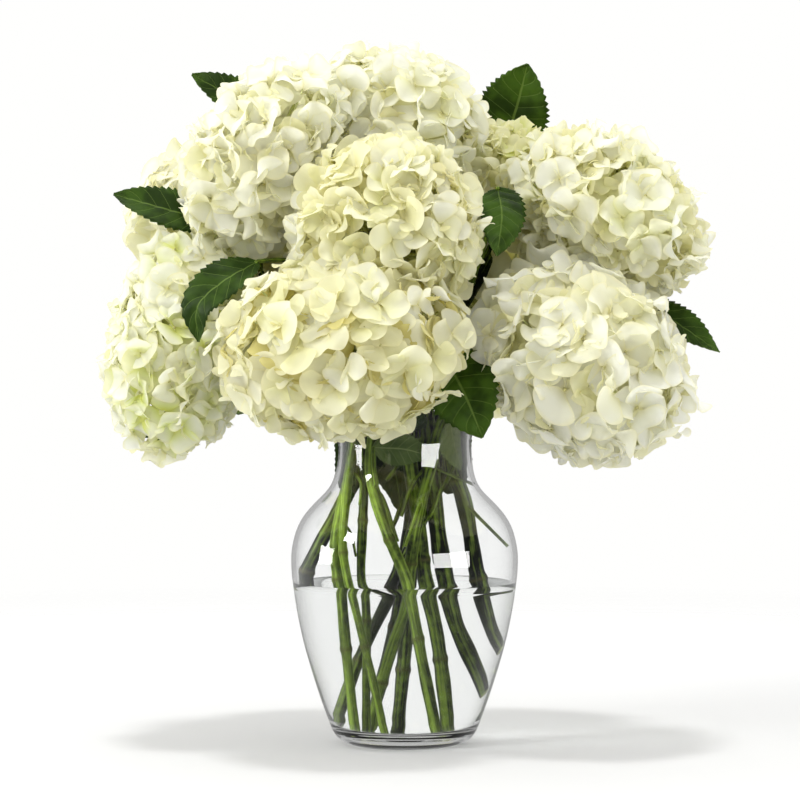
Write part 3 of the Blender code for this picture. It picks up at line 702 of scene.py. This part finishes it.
def make_head(head, materials):
    """A crowd of florets on stalks over the head's round shape, and a plainer layer beneath them."""
    centre, radii, _ = shape_of(head)
    style = STYLES[head]
    rng = seeded(head)
    base = base_direction(head)
    mean = radii.mean()
    petal = style["petal"]
    sheets = Sheets()
    count = round(4 * (mean / petal) ** 2 * style["crowd"])
    directions = spread(count, rng)
    reach, normals = head_surface(head, directions)
    inset = petal * (0.16 + 0.45 * style["tilt"] + 0.5 * style["lift"])
    sunk = rng.uniform(0, 1, count)
    places = centre + directions * (reach - inset - 0.35 * petal * sunk)[:, None]
    hidden = inside_others(head, places, OUTER_OVERLAP)
    hidden |= (places - centre) @ base > OUTER_BASE * mean
    hidden |= near_leaves(places, 0.3 * petal)
    hub = centre + base * mean * 0.3
    for place, normal, low in zip(places[~hidden], normals[~hidden], sunk[~hidden]):
        # sunk florets are painted creamier and a little darker, a painted shade lower in the head
        tone = np.clip(style["tone"] + rng.normal(0, 0.2) + 0.25 * (low - 0.5), 0, 1)
        green = style["lime"] * rng.uniform(0.1, 1.0) ** 2
        size = petal * rng.uniform(0.82, 1.12)
        add_floret(sheets, rng, style, place, normal, size, style["fine"], tone, green, 0.12 * low)
        add_stalk(sheets, rng, hub, place)
    inner = spread(round(count * INNER_COUNT), rng)
    reach, normals = head_surface(head, inner)
    depth = inset + petal * rng.uniform(0.3, 0.6, len(inner))
    places = centre + inner * (reach - depth)[:, None]
    hidden = inside_others(head, places, INNER_OVERLAP)
    hidden |= (places - centre) @ base > BASE_SHARE * mean
    hidden |= near_leaves(places, 0.2 * petal)
    size = petal * INNER_PETAL
    green = INNER_GREEN * style["lime"]
    for place, normal in zip(places[~hidden], normals[~hidden]):
        # inner florets are painted darker, as shade inside the head
        deep = style["deep"] * rng.uniform(0.5, 1.5)
        add_floret(sheets, rng, style, place, normal, size, INNER_FINE, INNER_TONE_AND_SHADE, green, deep)
    slot = SLOTS.get(head, "petal_cream")
    sheets.piece("hydrangea_" + head, materials, "flower_head_" + head, slot)


def add_stalk(sheets, rng, hub, place):
    """A floret's thin stalk, bending out from the head's hub."""
    way = place - hub
    middle = hub + way * 0.5 + rng.normal(0, 0.04, 3) * np.linalg.norm(way)
    line = smooth_line([hub + way * 0.12, middle, place - unit(way) * 0.3], np.linalg.norm(way) / 3)
    points, faces = tube(line, np.linspace(STALK_RADIUS * 1.7, STALK_RADIUS, len(line)), 4)
    sheets.add(points, faces, (0, 0, 0, 0), 2)


# Stems

STEM_SIDES = 14
REFRACTION = 0.25  # water's share of spreading, at a depth of one radius behind the front wall
SIGHT_FALL = 0.069  # how far a sight line from the front falls for its length
JOG = 1.6  # the height over which a stem is drawn in at the water's surface
JOINT_SWELL = 0.2  # how much thicker a stem is at a joint
JOINT_REACH = 2.0  # how far a joint reaches along the stem
STEM_RIBS = 5
RIB_HEIGHT = 0.035  # as a share of the stem's radius
HEAD_END = 30.0  # the last stretch of a stem, in its head, which is thinner
CUT_EDGE = 0.6  # how strongly the cut's colour shows at its edge
ON_THE_FLOOR = 0.9  # how far a standing stem's foot is above the vase's floor


def stem_route(head):
    """The stem's centre line from its cut foot into its head."""
    _, points = STEMS[head]
    points = [np.array(point, float) for point in points]
    centre, radii, _ = shape_of(head)
    if points[0][2] < STANDS_BELOW:
        points[0][2] = VASE_FLOOR + ON_THE_FLOOR
    into = base_direction(head)
    top = BASE_SHARE * radii.mean()
    points += [centre + into * (top + 14), centre + into * top * 0.35]
    return smooth_line(points, 1.2)


def drawn_in(points):
    """Points under water moved towards the vase's axis, as the water makes them look farther out."""
    inner = side_line(VASE_WALL)
    wall = np.interp(-points[:, 2], -inner[:, 0], inner[:, 1])
    depth = np.clip(points[:, 1] + wall, 0, None)
    surface = WATER_LEVEL - SIGHT_FALL * depth
    under = smoothstep(JOG / 2, -JOG / 2, points[:, 2] - surface)
    moved = points.copy()
    moved[:, 0] *= 1 - REFRACTION * depth / wall * under
    return moved


def make_stem(head, material):
    """A stem with ringed joints, shallow ribs, a pale cut end and its side shoots."""
    radius, _ = STEMS[head]
    rng = seeded("stem " + head)
    line = stem_route(head)
    length = lengths(line)
    radii = radius * (1 + 0.05 * np.sin(length / 9 + rng.uniform(0, 6)) + 0.03 * np.sin(length / 4))
    joint = np.zeros(len(line))
    for height in JOINT_HEIGHTS[head]:
        at = length[np.abs(line[:, 2] - height).argmin()]
        joint = np.maximum(joint, np.exp(-((length - at) / JOINT_REACH) ** 2))
    radii = radii * (1 + JOINT_SWELL * joint)
    radii[0] *= 0.93
    radii = radii * np.where(length > length[-1] - HEAD_END, 0.8, 1)
    turn = np.arange(STEM_SIDES) / STEM_SIDES
    ribs = 1 + RIB_HEIGHT * np.cos(STEM_RIBS * math.tau * turn + rng.uniform(0, 6))
    points, faces = tube(line, radii[:, None] * ribs, STEM_SIDES)
    field = np.zeros((len(points), 4))
    pale = PALENESS.get(head, OTHERS_PALENESS) + 0.08 * np.sin(length / 17 + rng.uniform(0, math.tau))
    field[:-2, 0] = np.repeat(pale, STEM_SIDES)
    field[:-2, 1] = np.repeat(joint**3, STEM_SIDES)
    field[:-2, 3] = np.tile(turn, len(line))
    field[:STEM_SIDES, 2] = CUT_EDGE
    field[-2, 2] = 1
    sheets = Sheets()
    sheets.add(drawn_in(points), faces, field)
    for route, thick, thin in SHOOTS.get(head, ()):
        add_rod(sheets, smooth_line(route, 2.0), thick, thin, rng.uniform(0.0, 0.35))
    sheets.piece("cut_stem_" + head, [material], "stem_" + head, "stem")


def add_rod(sheets, line, thick, thin, pale):
    """A thin green rod along a line, in the stem's material."""
    points, faces = tube(line, np.linspace(thick, thin, len(line)), ROD_SIDES)
    field = np.zeros((len(points), 4))
    field[:, 0] = pale
    field[:-2, 3] = np.tile(np.arange(ROD_SIDES) / ROD_SIDES, len(line))
    sheets.add(points, faces, field)


# Leaves


def blade_width(share):
    """A blade's half width as a share of its widest, at a share of its length from the base."""
    fall = ROUNDNESS * (1 - WIDEST) / WIDEST
    return (share / WIDEST) ** ROUNDNESS * (np.maximum(1 - share, 0) / (1 - WIDEST)) ** fall


def stalk_root(carrier, height, towards):
    """Where a leaf's stalk leaves its stem: a point inside the stem and one just outside it."""
    line = stem_route(carrier)
    i = int(np.abs(line[:, 2] - height).argmin())
    along = unit(line[i + 1] - line[i - 1])
    out = np.array(towards, float) - line[i]
    out = unit(out - along * out.dot(along))
    radius, _ = STEMS[carrier]
    return [line[i] + out * (radius - 1.0), line[i] + out * (radius + 3.0)]


def add_blade(sheets, rng, blade, half_width, facing, grid, shade):
    """A leaf's blade: folded along its midrib, hollowed between its veins and toothed along its edge."""
    rows, columns = grid
    line = smooth_line(blade, 1.0)
    length = lengths(line)
    share = np.linspace(0, 1, rows)
    line = np.stack([np.interp(share * length[-1], length, line[:, i]) for i in range(3)], 1)
    along = unit(np.gradient(line, axis=0))
    side = unit(np.cross(along, np.array(facing, float)))
    up = np.cross(side, along)
    s = np.linspace(-1, 1, columns)[None, :]
    share = share[:, None]
    width = np.maximum(blade_width(share) * half_width, 0.5)
    saw = (share * LEAF_TEETH) % 1.0
    tooth = 0.16 * (saw - 0.5) * np.minimum(1, 8 * (1 - share))
    across = s * width * (1 + tooth * np.abs(s) ** 5)
    hollow = np.abs((((share - LEAF_SLANT * np.abs(s)) * LEAF_VEINS) % 1.0) - 0.5) * 2
    rise = 0.25 * np.abs(across) * (1 - 0.25 * np.abs(s))
    rise = rise - 0.7 * hollow**3 * np.minimum(1, width / 6) * (1 - s**4)
    wave = share * 9 + rng.uniform(0, math.tau) + 2 * np.sign(s)
    rise = rise + 0.05 * half_width * s**2 * np.sin(wave)
    points = line[:, None, :] + side[:, None, :] * across[..., None] + up[:, None, :] * rise[..., None]
    field = np.zeros((rows, columns, 4))
    field[..., 0] = share
    field[..., 1] = s
    field[..., 2] = shade
    sheets.add(points.reshape(-1, 3), grid_faces(rows, columns), field.reshape(-1, 4))
    return line


def thicken(piece):
    """Gives a leaf its thickness, with the underside and the edge in the second material."""
    solid = piece.modifiers.new("thickness", "SOLIDIFY")
    solid.thickness = BLADE_THICKNESS * MM
    solid.offset = -1
    solid.material_offset = 1
    solid.material_offset_rim = 1


def make_leaf(leaf, blade_materials, stem_green):
    """A leaf's blade with the small leaves beside it, and its stalk as a piece of its own."""
    carrier, height, stalk, blade, half_width, facing = LEAVES[leaf]
    rng = seeded("leaf " + leaf)
    blades = Sheets()
    # painted light and shade on the listed leaves
    shade = LEAF_PAINTED_LIGHT_AND_SHADE.get(leaf, OTHERS_SHADE)
    line = add_blade(blades, rng, blade, half_width, facing, BLADE_GRID, shade)
    for more, more_width, more_facing in BRACTS.get(leaf, ()):
        add_blade(blades, rng, more, more_width, more_facing, BRACT_GRID, BRACT_PAINTED_SHADE)
    thicken(blades.piece("leaf_blade_" + leaf, blade_materials, "leaf_" + leaf, "leaf"))
    root = stalk_root(carrier, height, stalk[0])
    route = smooth_line([*root, *stalk, line[0], line[2]], 2.5)
    stalks = Sheets()
    add_rod(stalks, route, *STALK_RADII, STALK_PALENESS)
    stalks.piece("leaf_stalk_" + leaf, [stem_green], "leaf_" + leaf, "stem")


# Vase and water


def turned(name, profile, materials, replaced, slot):
    """A solid turned from (height, radius) points that start and end on the axis."""
    profile = np.array(profile, float)
    steps = TURNED_STEPS
    angles = np.arange(steps) * math.tau / steps
    middle = profile[1:-1]
    rings = [np.stack([r * np.cos(angles), r * np.sin(angles), np.full(steps, z)], 1) for z, r in middle]
    points = np.concatenate(rings + [[(0, 0, profile[0][0])], [(0, 0, profile[-1][0])]])
    faces = [face[::-1] for face in closed_faces(len(middle), steps)]
    sheets = Sheets()
    sheets.add(points, faces, (0, 0, 0, 0))
    return sheets.piece(name, materials, replaced, slot)


def smooth_profile(points, spacing):
    """A smooth line through (height, radius) points."""
    return smooth_line([(z, r, 0) for z, r in points], spacing)[:, :2]


def side_line(inset):
    """The vase's outer side, smooth, moved inwards by the inset: (height, radius) from rim to foot."""
    line = smooth_profile(VASE_SIDE, 3.0)
    way = unit(np.gradient(line, axis=0))
    return line + np.stack([-way[:, 1], way[:, 0]], 1) * inset


def rounded_floor(corner, above):
    """The inner floor's rounded corner and its middle, this far above the glass: (height, radius)."""
    low = corner[1] - above
    floor = VASE_FLOOR + above
    line = [(corner[0], low), (floor + 3.2, low - 2.2), (floor + 0.9, low - 5.5),
            (floor + 0.1, low - 11), (floor, low - 18), (floor, 9)]
    return smooth_profile(line, 2.5)[1:].tolist()


def inner_side():
    """The vase's inner side above the floor's rounded corner."""
    line = side_line(VASE_WALL)
    return line[line[:, 0] > INNER_SIDE_END]


def make_vase(material):
    outer = side_line(0)
    inner = inner_side()
    floor = rounded_floor(inner[-1], 0)
    rim = (VASE_SIDE[0][0], (outer[0][1] + inner[0][1]) / 2)
    under = smooth_profile(VASE_UNDER, 2.0)[1:]
    profile = [(VASE_FLOOR, 0)] + floor[::-1] + inner[::-1].tolist() + [rim]
    profile += outer.tolist() + under.tolist() + [(VASE_UNDER[-1][0], 0)]
    turned("glass_vase", profile, [material], "vase", "glass")


def make_water(materials):
    """The water reaches a little into the glass's side, so that no air shows between them."""
    side = side_line(VASE_WALL * WATER_IN_GLASS)
    edge = np.interp(-WATER_LEVEL, -side[:, 0], side[:, 1])
    side = side[(side[:, 0] < WATER_LEVEL - 1) & (side[:, 0] > INNER_SIDE_END)]
    above = 0.3
    profile = [(WATER_LEVEL, 0), (WATER_LEVEL, edge * 0.5), (WATER_LEVEL, edge)] + side.tolist()
    profile += rounded_floor(inner_side()[-1], above) + [(VASE_FLOOR + above, 0)]
    water = turned("vase_water", profile, materials, "water", "water")
    for face in water.data.polygons:
        face.material_index = int(face.center.z > (WATER_LEVEL - 0.05) * MM)


# Studio, in metres

# How bright the white studio is.
SEEN_THROUGH_GLASS = 1.08
AT_THE_SIDES = 0.9  # through glass too, to the left and right, which draws the glass's edges
BEHIND_IN_REFLECTIONS = 0.5
IN_FRONT_IN_REFLECTIONS = 0.08
ON_THINGS = 1.4  # as the soft light that falls on things
STUDIO_WHITE = (1.0, 1.0, 0.99, 1)

SUN_STRENGTH = 1.35
SUN_WIDTH = 8.0  # in degrees
SUN_TILT = (7.0, -2.0)  # in degrees about X and Y
KEY_PLACE = (-1.5, -0.8, 1.0)
KEY_TARGET = (0.0, 0.0, 0.25)
KEY_SIDE = 0.4
KEY_POWER = 18.0

FLOOR_DROP = 0.0002  # how far below the foot the floor lies
FLOOR_PALE = (0.535, 0.535, 0.535, 1)
FLOOR_FADES = (0.5, 1.3)  # from this distance to this one the floor fades out
FLOOR_GONE_IN_GLASS = 0.85  # how much of the pale floor is missing from what the glass mirrors

# Windows that only the glass's outer side mirrors: the way to each, half its width and half its height.
WINDOW_STRENGTH = 18.0
FIRST_MIRRORING = 2.5  # the studio counts a ray that one surface has mirrored as the second
WINDOWS = (
    ((0.75, -0.655, 0.07), 0.34, 0.15),
    ((-0.99, -0.05, 0.09), 0.16, 0.14),
)


def in_window(n, way, window):
    """1 where the ray's way falls in a window's rectangle, and 0 elsewhere."""
    middle, half_width, half_height = window
    middle = unit(np.array(middle))
    across = unit(np.cross(middle, (0, 0, 1)))
    inside = n.math("GREATER_THAN", n.dot(way, middle.tolist()), 0.0)
    for axis, half in ((across, half_width), (np.cross(across, middle), half_height)):
        part = n.math("ABSOLUTE", n.dot(way, axis.tolist()))
        inside = n.math("MULTIPLY", inside, n.math("LESS_THAN", part, half))
    return inside


def make_world():
    """White all round, as bright as the kind of ray asks, with windows for the glass to mirror."""
    n = Nodes(bpy.data.worlds.new("studio"))
    path = n.add("LightPath").outputs
    way = n.add("TexCoord").outputs["Generated"]
    x, y, _ = n.add("SeparateXYZ", {0: way}).outputs
    sideways = n.math("MULTIPLY", n.ramp(n.math("ABSOLUTE", x), 0.45, 0.8), n.ramp(y, -0.2, 0.2))
    through = n.blend(sideways, SEEN_THROUGH_GLASS, AT_THE_SIDES)
    strength = n.blend(n.math("GREATER_THAN", path["Transmission Depth"], 0.5), 1.0, through)
    mirrored = n.ramp(y, -0.2, 0.5, IN_FRONT_IN_REFLECTIONS, BEHIND_IN_REFLECTIONS)
    strength = n.blend(n.math("GREATER_THAN", path["Glossy Depth"], 0.5), strength, mirrored)
    strength = n.blend(n.math("GREATER_THAN", path["Diffuse Depth"], 0.5), strength, ON_THINGS)
    early = n.math("LESS_THAN", path["Ray Depth"], FIRST_MIRRORING)
    first = n.math("MULTIPLY", path["Is Glossy Ray"], early)
    for window in WINDOWS:
        shows = n.math("MULTIPLY", in_window(n, way, window), first)
        strength = n.math("ADD", strength, n.math("MULTIPLY", shows, WINDOW_STRENGTH))
    background = n.add("Background", {"Color": STUDIO_WHITE, "Strength": strength})
    bpy.context.scene.world = n.finish(background.outputs[0], "OutputWorld")


def add_lamp(name, lamp, place, rotation):
    """Links a lamp, which isn't seen through the glass."""
    item = bpy.data.objects.new(name, lamp)
    item.location = place
    item.rotation_euler = rotation
    item.visible_transmission = False
    bpy.context.scene.collection.objects.link(item)


def make_lamps():
    sun = bpy.data.lights.new("top_light", "SUN")
    sun.energy = SUN_STRENGTH
    sun.angle = math.radians(SUN_WIDTH)
    add_lamp("top_light", sun, (0, 0, 0), (math.radians(SUN_TILT[0]), math.radians(SUN_TILT[1]), 0))
    key = bpy.data.lights.new("key", "AREA")
    key.shape = "RECTANGLE"
    key.size = KEY_SIDE
    key.size_y = KEY_SIDE
    key.energy = KEY_POWER
    way = Vector(KEY_TARGET) - Vector(KEY_PLACE)
    add_lamp("key", key, KEY_PLACE, way.to_track_quat("-Z", "Y").to_euler())


def make_floor():
    """A pale floor that fades into the white behind it."""
    n = Nodes(bpy.data.materials.new("studio_floor"))
    distance = n.add("VectorMath", {0: n.place()}, operation="LENGTH").outputs["Value"]
    in_glass = n.math("GREATER_THAN", n.add("LightPath").outputs["Glossy Depth"], 0.5)
    faded = n.ramp(distance, *FLOOR_FADES)
    gone = n.math("MAXIMUM", faded, n.math("MULTIPLY", in_glass, FLOOR_GONE_IN_GLASS))
    pale = n.add("BsdfDiffuse", {"Color": FLOOR_PALE})
    clear = n.add("BsdfTransparent")
    material = n.finish(n.mix_shaders(gone, pale.outputs[0], clear.outputs[0]))
    mesh = bpy.data.meshes.new("floor")
    half = 1.5
    corners = [(-half, -half, 0), (half, -half, 0), (half, half, 0), (-half, half, 0)]
    mesh.from_pydata(corners, [], [(0, 1, 2, 3)])
    mesh.materials.append(material)
    floor = bpy.data.objects.new("floor", mesh)
    floor.location.z = -FLOOR_DROP
    bpy.context.scene.collection.objects.link(floor)


def make_camera():
    """A level camera straight in front."""
    camera = bpy.data.cameras.new("camera")
    camera.sensor_width = 36
    camera.lens = 118.4
    item = bpy.data.objects.new("camera", camera)
    item.location = (-0.0026, -1.5, 0.1955)
    item.rotation_euler = (math.pi / 2, 0, 0)
    bpy.context.scene.collection.objects.link(item)
    bpy.context.scene.camera = item


def main():
    petals = [petal_material(), eye_material(), stalk_material()]
    stem = stem_material()
    upper = leaf_material("leaf_upper", *UPPER_COLORS)
    under = leaf_material("leaf_under", *UNDER_COLORS)
    make_camera()
    make_world()
    make_lamps()
    make_floor()
    for name in HEADS:
        make_head(name, petals)
        make_stem(name, stem)
    for name in LEAVES:
        make_leaf(name, [upper, under], stem)
    make_vase(clear_material("vase_glass", GLASS_IOR, GLASS_TINT))
    make_water([clear_material("vase_water", WATER_IOR, WATER_TINT),
                clear_material("water_surface", WATER_IOR, WATER_TINT, SURFACE_UNSEEN)])
    bpy.context.scene.view_settings.view_transform = "Standard"


main()
